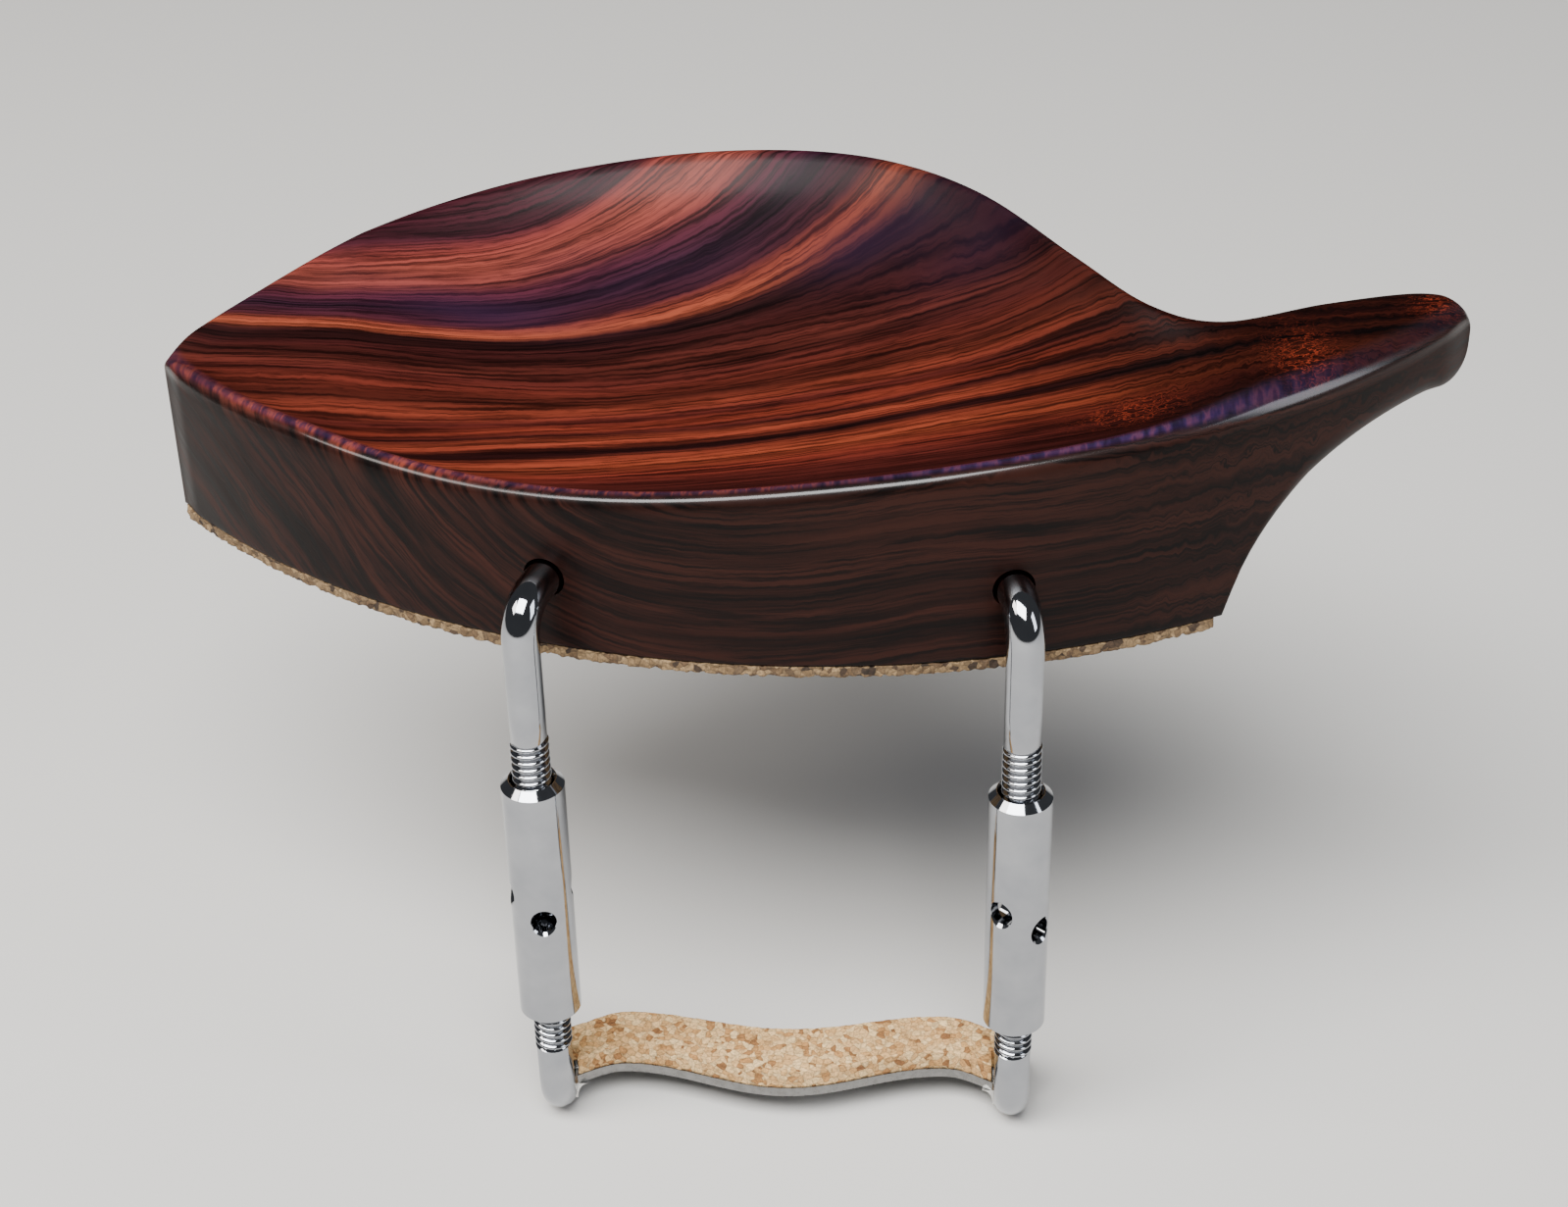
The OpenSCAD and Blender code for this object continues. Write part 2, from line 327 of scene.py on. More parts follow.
print("plate length and dish floor in mm:", round(PLATE_RIGHT - PLATE_LEFT, 1), round(top_z(-6, 0.5), 1))

# %% [markdown]
# ## Carving the plate
# A maker saws the blank, hollows the dish with a gouge and scrapes the edges round. Here
# each section is a closed line with six sides and six rounded corners. The front lip is
# the fullest of the upper ones and the back rim is crisp. Both tips shrink to a rounded end.

# %% Plate sections
SECTIONS = 190
LIP_R, RIM_R, UNDER_R, FOOT_R = 2.6, 0.9, 2.2, 0.35
LEFT_END, RIGHT_END, LEFT_DROP = 1.8, 2.6, 1.2
ARM_CHAMFER, ARM_START, ARM_BLEND = 2.2, 38, 6


def plate_ring(x):
    """The closed section of the plate at x, as points in space."""
    f, b, edge = front(x), back(x), ledge(x)
    step = (b - edge) / 12
    rim, lip, foot = top_z(x, 1), top_z(x, 0), arch_z(x)
    cup_start = under_z(x, (edge + step - f) / (b - f))
    sides = (
        (lambda t: (f + (b - f) * t, top_z(x, t)), b - f, 46),
        (between((b, rim), (b, under_z(x, 1))), rim - under_z(x, 1), 5),
        (lambda t: (b + (edge + step - b) * t, under_z(x, (b + (edge + step - b) * t - f) / (b - f))),
         b - edge - step, 18),
        (between((edge + step, cup_start), (edge, foot)), math.hypot(step, cup_start - foot), 4),
        (between((edge, foot), (f, foot)), edge - f, 8),
        (between((f, foot), (f, lip)), lip - foot, 16),
    )
    # where the plate runs out to a point, the lip's radius eases down to what fits
    room = 0.42 * (b - f)
    lip_r = LIP_R * room / math.hypot(LIP_R, room)
    foot_r = FOOT_R + ARM_CHAMFER * min(1, max(0, (x - ARM_START) / ARM_BLEND))
    ring = rounded(sides, (RIM_R, UNDER_R, 1.2, 0.5, foot_r, lip_r))
    left = min(1, (x - PLATE_LEFT) / LEFT_END)
    near = min(1, (PLATE_RIGHT - x) / RIGHT_END)
    narrow = math.sqrt(max(0.0004, 1 - (1 - left) ** 2)) * math.sqrt(max(0.0004, 1 - (1 - near) ** 2))
    low = max(0.0004, 1 - (1 - near) ** 2) ** 0.35
    sink = LEFT_DROP * (1 - math.sqrt(1 - max(0, 1 - (x - PLATE_LEFT) / (2 * LEFT_DROP)) ** 2))
    ring = [(y, z - sink * max(0, z - 2) / (rim - 2)) for y, z in ring]
    mid_y, mid_z = (f + b) / 2, (rim + under_z(x, 1)) / 2
    return [Vector((x, mid_y + (y - mid_y) * narrow, mid_z + (z - mid_z) * low)) for y, z in ring]


def spread(a, b, n):
    """n steps from a to b that are short at both ends."""
    return [a + (b - a) * (1 - math.cos(math.pi * i / n)) / 2 for i in range(n + 1)]


plate = rolled([plate_ring(x) for x in spread(PLATE_LEFT, PLATE_RIGHT, SECTIONS)])
print("plate skin:", len(plate.faces), "faces")

# %% [markdown]
# ## Drilling the sockets
# The hooks enter the front wall through two holes whose mouths are wider than the rods,
# so a thin dark ring shows round each rod. Drilling is a boolean: a cutter is modelled
# where the drill goes, and taken away from the wood.

# %% Boolean cut
ROD_R, LEG_X, LEG_Y, HOOK_H, HOOK_GRIP = 1.575, 20.5, -8.0, 7.7, 11.0
BEND_R = 1.4 + ROD_R


def cut(bm, cutter):
    """Takes the cutter's volume away from bm."""
    pair = []
    for name, source in (("Blank", bm), ("Cutter", cutter)):
        bmesh.ops.recalc_face_normals(source, faces=source.faces)
        held = bpy.data.objects.new(name, bpy.data.meshes.new(name))
        source.to_mesh(held.data)
        source.free()
        bpy.context.collection.objects.link(held)
        pair.append(held)
    blank, tool = pair
    change = blank.modifiers.new("Cut", "BOOLEAN")
    change.operation, change.solver, change.object = "DIFFERENCE", "EXACT", tool
    cut_mesh = bpy.data.meshes.new_from_object(blank.evaluated_get(bpy.context.evaluated_depsgraph_get()))
    result = bmesh.new()
    result.from_mesh(cut_mesh)
    for held in pair:
        bpy.data.objects.remove(held)
    bpy.data.meshes.remove(cut_mesh)
    return result


def hook_place(side):
    """Moves a shape made at the origin, with the wall ahead along +Y, to one hook."""
    turn = math.asin((side * LEG_X - FRONT_MID) / FRONT_R)
    return Matrix.Translation((side * LEG_X, LEG_Y, 0)) @ Matrix.Rotation(turn, 4, "Z")


def wall_gap(side):
    """How far the wall is from the hook's upright rod."""
    return math.hypot(side * LEG_X - FRONT_MID, FRONT_Y - LEG_Y) - FRONT_R


MOUTH_R, MOUTH_DEEP = 1.8, 1.2
SOCKET_R, SOCKET_START, SOCKET_DEEP = ROD_R + 0.1, 2.0, HOOK_GRIP + 0.2
ALONG_Y = Matrix.Rotation(math.radians(-90), 4, "X")
for side in (-1, 1):
    drill = bmesh.new()
    wall = wall_gap(side)
    profile = (
        (0, 0), (MOUTH_R, 0), (MOUTH_R, wall + MOUTH_DEEP), (SOCKET_R, wall + SOCKET_START),
        (SOCKET_R, wall + SOCKET_DEEP), (0, wall + SOCKET_DEEP),
    )
    points = [drill.verts.new((r, 0, h)) for r, h in profile]
    edges = [drill.edges.new(pair) for pair in zip(points, points[1:])]
    bmesh.ops.spin(drill, geom=points + edges, cent=(0, 0, 0), axis=(0, 0, 1), dvec=(0, 0, 0),
                   angle=math.tau, steps=48, use_merge=True, use_duplicate=False)
    bmesh.ops.remove_doubles(drill, verts=drill.verts, dist=0.001)
    bmesh.ops.transform(drill, verts=drill.verts,
                        matrix=hook_place(side) @ Matrix.Translation((0, 0, HOOK_H)) @ ALONG_Y)
    plate = cut(plate, drill)
print("plate after drilling:", len(plate.faces), "faces")

# %% [markdown]
# ## Reading the wood's figure
# The blank was sawn near the heart of a rosewood log, so its growth layers lie almost
# flat along the front of the dish and sweep up towards the back rim. The table holds the
# run of a few layers across the top, as Y for each X. Every vertex gets three lengths in
# millimetres: along the grain, across the layers, and down into the wood. The finish then
# draws its lines in those lengths, and they bend as the layers do. Four more values from 0
# to 1 say where the purple of the wood with a painted bluish reflection, the streaked lip
# with its painted sheen, the gloss and the red curls are.

# %% Growth layers
STATIONS = (-56, -45, -35, -25, -15, -5, 5, 15, 25, 35, 45, 58)
LAYERS = (
    (-8, (-34, -24, -16, -11, -8.5, -8, -8, -8, -7, -4.5, -1, 5)),
    (4, (-26, -18, -9, -1.5, 2.5, 4, 4.5, 4.5, 4.6, 4.5, 6.5, 11)),
    (10.5, (-20, -10, -1, 6.5, 10.2, 11.4, 12, 12, 11.4, 10.6, 12, 15)),
    (16, (-9, -1, 8, 14, 16, 16.3, 16.3, 16.3, 15.5, 14, 15, 17)),
    (20, (4, 11, 15.2, 18.5, 20, 20.6, 21, 21, 20.3, 17.2, 17.6, 19)),
    (24, (18.5, 21, 22.5, 23.3, 24, 24.8, 25.3, 25.3, 24.5, 20.5, 20.3, 21)),
    (29.5, (22, 25, 27, 28.5, 30, 31, 31.5, 31, 28.5, 24.5, 24, 25)),
    (34, (23.5, 27.7, 29.7, 31.2, 33.5, 36, 41, 47, 53, 58, 62, 66)),
    (39, (25.2, 30, 33, 35.5, 39, 43.5, 50, 56, 62, 67, 71, 75)),
    (46, (27.5, 33, 38, 42, 48, 55, 62, 68, 74, 79, 83, 87)),
    (56, (31, 39, 46, 52, 58, 65, 72, 78, 84, 89, 93, 97)),
)


def layer_y(row, x):
    """Where one layer runs at x."""
    at = min(max(x, STATIONS[0]), STATIONS[-1] - 0.001)
    i = next(k for k in range(len(STATIONS) - 1) if STATIONS[k + 1] > at)
    t = (at - STATIONS[i]) / (STATIONS[i + 1] - STATIONS[i])
    last = len(row) - 1
    return through(row[max(i - 1, 0)], row[i], row[i + 1], row[min(i + 2, last)], t)


def across(x, y):
    """Distance across the growth layers at a place on top of the plate."""
    runs = [(layer_y(row, x), level) for level, row in LAYERS]
    if y <= runs[0][0]:
        return runs[0][1] + (y - runs[0][0])
    for (y0, low), (y1, high) in zip(runs, runs[1:]):
        if y <= y1:
            return low + (high - low) * (y - y0) / (y1 - y0)
    return runs[-1][1] + (y - runs[-1][0])


def ease(value, low, high):
    """0 below low, 1 above high, and smooth between."""
    t = min(max((value - low) / (high - low), 0), 1)
    return t * t * (3 - 2 * t)


def hump(x, y, middle, reach):
    """A soft round spot on the top."""
    return math.exp(-((x - middle[0]) / reach[0]) ** 2 - ((y - middle[1]) / reach[1]) ** 2)


# spots of purple on the back of the dish: partly the wood's own, partly a painted reflection of bluish light
WOOD_PURPLE_AND_SHEEN_SPOTS = (((-13, 39), (9, 3)), ((8, 38), (8, 4)), ((18, 34), (6, 5)), ((-28, 33.5), (10, 2)))
EMBER_SPOTS = (((29, 6.5), (3.5, 2)), ((43.5, 10.5), (2.5, 3.5)), ((55.5, 18.5), (2, 2)))
LIP_WIDE = 2.2
grain = plate.verts.layers.float_vector.new("grain")
wood_purple_and_sheen = plate.verts.layers.float.new("wood_purple_and_sheen")
lip = plate.verts.layers.float.new("lip")
gloss = plate.verts.layers.float.new("gloss")
ember = plate.verts.layers.float.new("ember")
for v in plate.verts:
    x, y, z = v.co
    f, b = front(min(max(x, PLATE_LEFT), PLATE_RIGHT)), back(x)
    depth = max(0, top_z(x, (y - f) / max(b - f, 0.5)) - z)
    layer = across(x, y)
    layer += (-6 - layer) * ease(x, 8, 22) * ease(depth, 0.3, 2.5) * ease(f + 8 - y, 0, 4)
    tilt = 0.45 + 0.5 * ease(x, -40, -15)
    v[grain] = (x, layer + tilt * depth, depth)
    v[wood_purple_and_sheen] = min(1, sum(hump(x, y, *spot) for spot in WOOD_PURPLE_AND_SHEEN_SPOTS))
    v[lip] = (1 - ease(y - f, LIP_WIDE - 0.8 * ease(x, 10, 30), LIP_WIDE + 1.4)) * (1 - ease(depth, 0.4, 0.9))
    v[gloss] = (1 - ease(y - f, 2.0, 4.0)) * (1 - ease(depth, 0.9, 1.9))
    v[ember] = min(1, sum(hump(x, y, *spot) for spot in EMBER_SPOTS)) * (1 - ease(depth, 0.5, 1.5))
levels = [v[grain].y for v in plate.verts]
print("layers run from", round(min(levels)), "to", round(max(levels)))

# %% [markdown]
# ## Oiled and polished rosewood
# Rosewood is a dense, oily tropical wood. Its heart is red-orange and purple-brown with
# near-black layers, and its pores are short dark dashes along the grain. It is scraped,
# oiled and polished. The thin clear coat is strong along the front lip and faint elsewhere.
# The broad colours follow the layers through one ramp. Fine dark lines, 0.4 mm across
# and 15 mm long, are noise that is stretched along the grain.

# %% Rosewood
TONES = (
    (-12, "#23100D"), (-5, "#381512"), (1, "#4C1C19"), (5, "#682821"), (7.5, "#90392A"),
    (9.5, "#AA4C32"), (11.6, "#9D442F"), (12.7, "#2B0F0F"), (13.6, "#381412"), (14.4, "#97402D"),
    (15.6, "#A44831"), (16.7, "#441917"), (18, "#9C402D"), (19.2, "#5C231E"), (20.6, "#94402D"),
    (22.2, "#522118"), (23.6, "#793226"), (25, "#58231D"), (27, "#622A22"), (29.5, "#401816"),
    (32.4, "#381615"), (33.5, "#A44E35"), (34.5, "#9A4632"), (35.4, "#4C1F26"), (38, "#3A1A2D"),
    (40.2, "#5C2633"), (41.6, "#93453D"), (44, "#9F4B3E"), (46, "#913F37"), (47.6, "#4E1E29"),
    (51, "#401821"), (55, "#7B3437"),
)
LOWEST, HIGHEST = TONES[0][0], TONES[-1][0]


def rosewood():
    made, tree = new_material("oiled_rosewood")
    lengths = add(tree, "Attribute", attribute_name="grain").outputs["Vector"]
    # slow wander of the layers, over 40 mm along and 7 mm across
    wander = add(tree, "Mapping", {"Vector": lengths, "Scale": (1 / 40, 1 / 7, 1 / 20)})
    drift = add(tree, "TexNoise", {
        "Vector": wander.outputs[0], "Scale": 1.0, "Detail": 3.0, "Roughness": 0.55})
    # a ripple of about a millimetre, slight on the dish and strong in the crinkled figure of the arm
    ripple = add(tree, "Mapping", {"Vector": lengths, "Scale": (1 / 1.1, 1 / 2.2, 1 / 6)})
    crinkle = add(tree, "TexNoise", {"Vector": ripple.outputs[0], "Scale": 1.0, "Detail": 2.0})
    parts = add(tree, "SeparateXYZ", {0: lengths})
    on_arm = add(tree, "MapRange", {"Value": parts.outputs[0], "From Min": 24.0, "From Max": 40.0,
                                    "To Min": 0.3, "To Max": 2.6}, interpolation_type="SMOOTHSTEP")
    swirl = add(tree, "Math", {0: crinkle.outputs[0], 1: 0.5}, operation="SUBTRACT")
    swirl = add(tree, "Math", {0: swirl.outputs[0], 1: on_arm.outputs[0]}, operation="MULTIPLY")
    shift = add(tree, "Math", {0: drift.outputs[0], 1: 2.0, 2: -1.0}, operation="MULTIPLY_ADD")
    shift = add(tree, "Math", {0: shift.outputs[0], 1: swirl.outputs[0]}, operation="ADD")
    layer = add(tree, "Math", {0: parts.outputs[1], 1: shift.outputs[0]}, operation="ADD")
    warped = add(tree, "CombineXYZ", {0: parts.outputs[0], 1: layer.outputs[0], 2: parts.outputs[2]})

    place = add(tree, "MapRange", {
        "Value": layer.outputs[0], "From Min": float(LOWEST), "From Max": float(HIGHEST)})
    broad = add(tree, "ValToRGB", {0: place.outputs[0]},
                stops=[((level - LOWEST) / (HIGHEST - LOWEST), code) for level, code in TONES])
    # fine layers: 0.4 mm across and 15 mm along, then bands of 1.6 mm
    fine_at = add(tree, "Mapping", {"Vector": warped.outputs[0], "Scale": (1 / 15, 1 / 0.4, 1 / 8)})
    fine = add(tree, "TexNoise", {
        "Vector": fine_at.outputs[0], "Scale": 1.0, "Detail": 5.0, "Roughness": 0.68})
    fine_dark = add(tree, "ValToRGB", {0: fine.outputs[0]}, stops=[(0.41, 0.08), (0.54, 1.0)])
    band_at = add(tree, "Mapping", {"Vector": warped.outputs[0], "Scale": (1 / 55, 1 / 1.6, 1 / 12)})
    band = add(tree, "TexNoise", {
        "Vector": band_at.outputs[0], "Scale": 1.0, "Detail": 3.0, "Roughness": 0.6})
    band_dark = add(tree, "ValToRGB", {0: band.outputs[0]}, stops=[(0.36, 0.18), (0.60, 1.0)])
    # pores: dashes 0.12 mm wide, drawn 0.2 mm wide so that they show, and 2 mm long
    pore_at = add(tree, "Mapping", {"Vector": warped.outputs[0], "Scale": (1 / 2.0, 1 / 0.2, 1 / 0.6)})
    pore = add(tree, "TexNoise", {"Vector": pore_at.outputs[0], "Scale": 1.0, "Detail": 1.0})
    pore_dark = add(tree, "ValToRGB", {0: pore.outputs[0]}, stops=[(0.30, 0.35), (0.42, 1.0)])

    colour = add(tree, "Mix", {FACTOR: 0.75, A: broad.outputs[0], B: band_dark.outputs[0]},
                 blend_type="MULTIPLY", **MIX)
    colour = add(tree, "Mix", {FACTOR: 0.78, A: colour.outputs[MIXED], B: fine_dark.outputs[0]},
                 blend_type="MULTIPLY", **MIX)
    colour = add(tree, "Mix", {FACTOR: 0.6, A: colour.outputs[MIXED], B: pore_dark.outputs[0]},
                 blend_type="MULTIPLY", **MIX)
    # purple patches: partly the wood's own purple, partly a painted reflection of bluish light in the polish
    purple_and_sheen = add(tree, "Attribute", attribute_name="wood_purple_and_sheen").outputs["Fac"]
    mottled = add(tree, "MapRange", {"Value": drift.outputs[0], "From Min": 0.35, "From Max": 0.65,
                                     "To Min": 0.15, "To Max": 0.62})
    purple_and_sheen = add(tree, "Math", {0: purple_and_sheen, 1: mottled.outputs[0]}, operation="MULTIPLY")
    colour = add(tree, "Mix", {FACTOR: purple_and_sheen.outputs[0], A: colour.outputs[MIXED], B: "#38203C"}, **MIX)
    # the colour darkens along the plate towards the arm
    run = add(tree, "MapRange", {"Value": parts.outputs[0], "From Min": -56.0, "From Max": 58.0})
    shade = add(tree, "ValToRGB", {0: run.outputs[0]}, stops=[
        (0.12, 0.70), (0.35, 0.60), (0.60, 0.53), (0.70, 0.34), (0.76, 0.15), (0.84, 0.08), (1.0, 0.06)])
    colour = add(tree, "Mix", {FACTOR: 1.0, A: colour.outputs[MIXED], B: shade.outputs[0]},
                 blend_type="MULTIPLY", **MIX)
    # small curls of red figure on the arm: contour lines of a fine noise of their own
    curl_at = add(tree, "Mapping", {"Vector": lengths, "Scale": (1 / 1.3, 1 / 1.0, 1 / 6)})
    curl = add(tree, "TexNoise", {"Vector": curl_at.outputs[0], "Scale": 1.0, "Detail": 3.0})
    curl_line = add(tree, "ValToRGB", {0: curl.outputs[0]},
                    stops=[(0.45, 0.0), (0.48, 0.8), (0.50, 0.0), (0.55, 0.0), (0.57, 0.5), (0.59, 0.0)])
    glow = add(tree, "Attribute", attribute_name="ember").outputs["Fac"]
    curl_line = add(tree, "Math", {0: curl_line.outputs[0], 1: glow}, operation="MULTIPLY")
    colour = add(tree, "Mix", {FACTOR: curl_line.outputs[0], A: colour.outputs[MIXED], B: "#8A3420"}, **MIX)
    # the strip inside the lip, pinkish on the left and purple-blue to the right, in short cross streaks:
    # partly the wood's streaks, partly a painted sheen on the polish
    edge = add(tree, "Attribute", attribute_name="lip").outputs["Fac"]
    streak_at = add(tree, "Mapping", {"Vector": lengths, "Scale": (1 / 1.1, 1 / 6, 1 / 4)})
    streak = add(tree, "TexNoise", {"Vector": streak_at.outputs[0], "Scale": 1.0, "Detail": 3.0})
    pink = add(tree, "ValToRGB", {0: streak.outputs[0]}, stops=[
        (0.38, "#1E1230"), (0.46, "#4A2438"), (0.52, "#86403C"), (0.58, "#33203E"), (0.68, "#6B3034")])
    blue = add(tree, "ValToRGB", {0: streak.outputs[0]}, stops=[
        (0.38, "#1C1230"), (0.50, "#33224A"), (0.58, "#5A3350"), (0.66, "#3A2044")])
    which = add(tree, "ValToRGB", {0: run.outputs[0]}, stops=[(0.48, 0.0), (0.60, 1.0)])
    lip_streaks_and_sheen = add(tree, "Mix", {FACTOR: which.outputs[0], A: pink.outputs[0], B: blue.outputs[0]}, **MIX)
    ends = add(tree, "ValToRGB", {0: run.outputs[0]}, stops=[
        (0.02, 0.4), (0.14, 0.85), (0.74, 0.75), (0.82, 0.4), (0.92, 0.05)])
    edge = add(tree, "Math", {0: edge, 1: ends.outputs[0]}, operation="MULTIPLY")
    colour = add(tree, "Mix", {
        FACTOR: edge.outputs[0], A: colour.outputs[MIXED], B: lip_streaks_and_sheen.outputs[MIXED]}, **MIX)
    # the front wall is darker: painted shade, as little light reaches it from the front, with the wood's fine
    # and band lines kept in it
    wall_shade_fac = add(tree, "MapRange", {"Value": parts.outputs[2], "From Min": 0.4, "From Max": 1.4,
                                   "To Min": 0.0, "To Max": 1.0}, interpolation_type="SMOOTHSTEP")
    painted_wall_shade = add(tree, "Mix", {FACTOR: 0.9, A: "#2A130D", B: fine_dark.outputs[0]},
                    blend_type="MULTIPLY", **MIX)
    painted_wall_shade = add(tree, "Mix", {FACTOR: 1.0, A: painted_wall_shade.outputs[MIXED], B: band_dark.outputs[0]},
                    blend_type="MULTIPLY", **MIX)
    painted_wall_shade = add(tree, "Mix", {
        FACTOR: 0.025, A: painted_wall_shade.outputs[MIXED], B: colour.outputs[MIXED]}, **MIX)
    colour = add(tree, "Mix", {
        FACTOR: wall_shade_fac.outputs[0], A: colour.outputs[MIXED], B: painted_wall_shade.outputs[MIXED]}, **MIX)
    shine = add(tree, "Attribute", attribute_name="gloss").outputs["Fac"]
    polish = add(tree, "MapRange", {"Value": shine, "To Min": 0.03, "To Max": 1.0})
    relief = add(tree, "Math", {0: fine.outputs[0], 1: pore_dark.outputs[0]}, operation="ADD")
    bump = add(tree, "Bump", {"Strength": 0.12, "Distance": 0.00004, "Height": relief.outputs[0]})
    rough = add(tree, "MapRange", {"Value": fine.outputs[0], "From Min": 0.3, "From Max": 0.7,
                                   "To Min": 0.34, "To Max": 0.5})
    shader = add(tree, "BsdfPrincipled", {
        "Base Color": colour.outputs[MIXED], "Roughness": rough.outputs[0], "IOR": 1.5,
        "Specular IOR Level": 0.1,
        "Coat Weight": polish.outputs[0], "Coat Roughness": 0.18, "Coat IOR": 1.5, "Normal": bump.outputs[0]})
    add(tree, "OutputMaterial", {"Surface": shader.outputs[0]})
    return made


wood = rosewood()
finished("Chin_Plate", plate, "plate", ["chin_plate"], wood, sharp=40)

# %% [markdown]
# ## Bright chrome
# The clamp is steel rod, polished, nickel plated and flashed with chrome. Chrome is a
# bluish mirror with a very low roughness. A faint waviness is left from polishing, which
# breaks up the long reflections in the rods.


# %% Chrome
def plated(name, colour, roughness, wave_mm, wave_height):
    """Polished or satin plating over steel. The waviness has one scale in millimetres."""
    made, tree = new_material(name)
    place = add(tree, "TexCoord").outputs["Object"]
    wave = add(tree, "TexNoise", {"Vector": place, "Scale": 1000 / wave_mm, "Detail": 3.0})
    tone = add(tree, "Mix", {FACTOR: wave.outputs[0], A: colour, B: "#FFFFFF"}, **MIX)
    tone = add(tree, "Mix", {FACTOR: 0.22, A: colour, B: tone.outputs[MIXED]}, **MIX)
    rough = add(tree, "MapRange", {"Value": wave.outputs[0], "From Min": 0.3, "From Max": 0.75,
                                   "To Min": roughness * 0.7, "To Max": roughness * 1.5})
    bump = add(tree, "Bump", {"Strength": 0.3, "Distance": wave_height, "Height": wave.outputs[0]})
    shader = add(tree, "BsdfPrincipled", {
        "Base Color": tone.outputs[MIXED], "Metallic": 1.0, "Roughness": rough.outputs[0],
        "Normal": bump.outputs[0]})
    add(tree, "OutputMaterial", {"Surface": shader.outputs[0]})
    return made


# darker than real chrome: painted shade standing in for the dark surroundings the rods reflect
chrome = plated("bright_chrome_plate", "#8F9298", 0.05, 3.0, 0.00001)
# darker than real nickel: painted shade for the bar, standing in for the shadow and dark reflections under
# the plate
nickel = plated("satin_nickel_plate", "#6B6A68", 0.28, 0.6, 0.00002)

# %% [markdown]
# ## Rolled threads
# A screw thread is one pitch of its profile, turned about the axis while it climbs. Spin
# does both at once. Each turn ends where the next begins, so merging doubles gives one
# helical skin, and two flat cuts with caps close it. Rolling raises the crests a little
# above the plain rod, which is why the thread looks thicker than the rod.

# %% Thread
PITCH, CREST_R, ROOT_R = 0.7, 1.68, 1.27
TURN_STEPS = 28
THREAD_POINTS = 12


def flat_cap(bm, height, outward):
    """Cuts everything beyond a height and closes the cut."""
    bmesh.ops.bisect_plane(bm, geom=bm.verts[:] + bm.edges[:] + bm.faces[:], dist=0.0001,
                           plane_co=(0, 0, height), plane_no=(0, 0, outward), clear_outer=True)
    at_cut = {v for v in bm.verts if abs(v.co.z - height) < 0.001}
    rim = [edge for edge in bm.edges if edge.is_boundary and all(v in at_cut for v in edge.verts)]
    bmesh.ops.contextual_create(bm, geom=rim)


def thread(low, high, hand):
    """A threaded cylinder on the Z axis between two heights. hand is 1 for a right-hand thread."""
    bm = bmesh.new()
    turns = math.ceil((high - low) / PITCH) + 2
    start = low - PITCH
    profile = []
    for k in range(THREAD_POINTS + 1):
        rise = (0.5 - 0.5 * math.cos(math.tau * k / THREAD_POINTS)) ** 0.6
        radius = ROOT_R + (CREST_R - ROOT_R) * rise
        profile.append(bm.verts.new((radius, 0, start + PITCH * k / THREAD_POINTS)))
    edges = [bm.edges.new(pair) for pair in zip(profile, profile[1:])]
    bmesh.ops.spin(bm, geom=profile + edges, cent=(0, 0, 0), axis=(0, 0, hand), angle=math.tau * turns,
                   dvec=(0, 0, PITCH / TURN_STEPS), steps=TURN_STEPS * turns,
                   use_merge=False, use_duplicate=False)
    bmesh.ops.remove_doubles(bm, verts=bm.verts, dist=0.002)
    flat_cap(bm, high, 1)
    flat_cap(bm, low, -1)
    return bm


sample = thread(0, 5, 1)
print("5 mm of thread:", len(sample.faces), "faces,", sum(e.is_boundary for e in sample.edges), "open edges")
sample.free()

# %% [markdown]
# ## Bent rods
# Each hook and leg is a rod bent over a former. A circle is drawn out along a straight,
# spun through the bend, and drawn out again. Only the newest ring is moved each time.


# %% Rod steps
def ring_of(geom):
    return [e for e in geom if isinstance(e, bmesh.types.BMEdge)]


def draw_out(bm, ring, move, widen=1.0):
    """Extrudes a ring of edges along a straight, and returns the new ring."""
    made = bmesh.ops.extrude_edge_only(bm, edges=ring)["geom"]
    tips = [v for v in made if isinstance(v, bmesh.types.BMVert)]
    bmesh.ops.translate(bm, verts=tips, vec=move)
    middle = sum((v.co for v in tips), Vector()) / len(tips)
    bmesh.ops.scale(bm, verts=tips, vec=(widen,) * 3, space=Matrix.Translation(-middle))
    tip_set = set(tips)
    return [e for e in bm.edges if all(v in tip_set for v in e.verts)]


def bend(bm, ring, centre, axis, degrees):
    """Spins a ring through a bend, and returns the new ring."""
    made = bmesh.ops.spin(bm, geom=ring, cent=centre, axis=axis, dvec=(0, 0, 0), angle=math.radians(degrees),
                          steps=16, use_merge=False, use_duplicate=False)
    return ring_of(made["geom_last"])


def rod_start(bm, height, radius):
    """A ring on the Z axis to start a rod from, without a cap."""
    made = bmesh.ops.create_circle(bm, cap_ends=False, segments=56, radius=radius,
                                   matrix=Matrix.Translation((0, 0, height)))
    ring = list({e for v in made["verts"] for e in v.link_edges})
    return ring


def joined(parts):
    """Several closed shells as one bmesh."""
    whole = bmesh.new()
    for part in parts:
        held = bpy.data.meshes.new("part")
        part.to_mesh(held)
        part.free()
        whole.from_mesh(held)
        bpy.data.meshes.remove(held)
    return whole


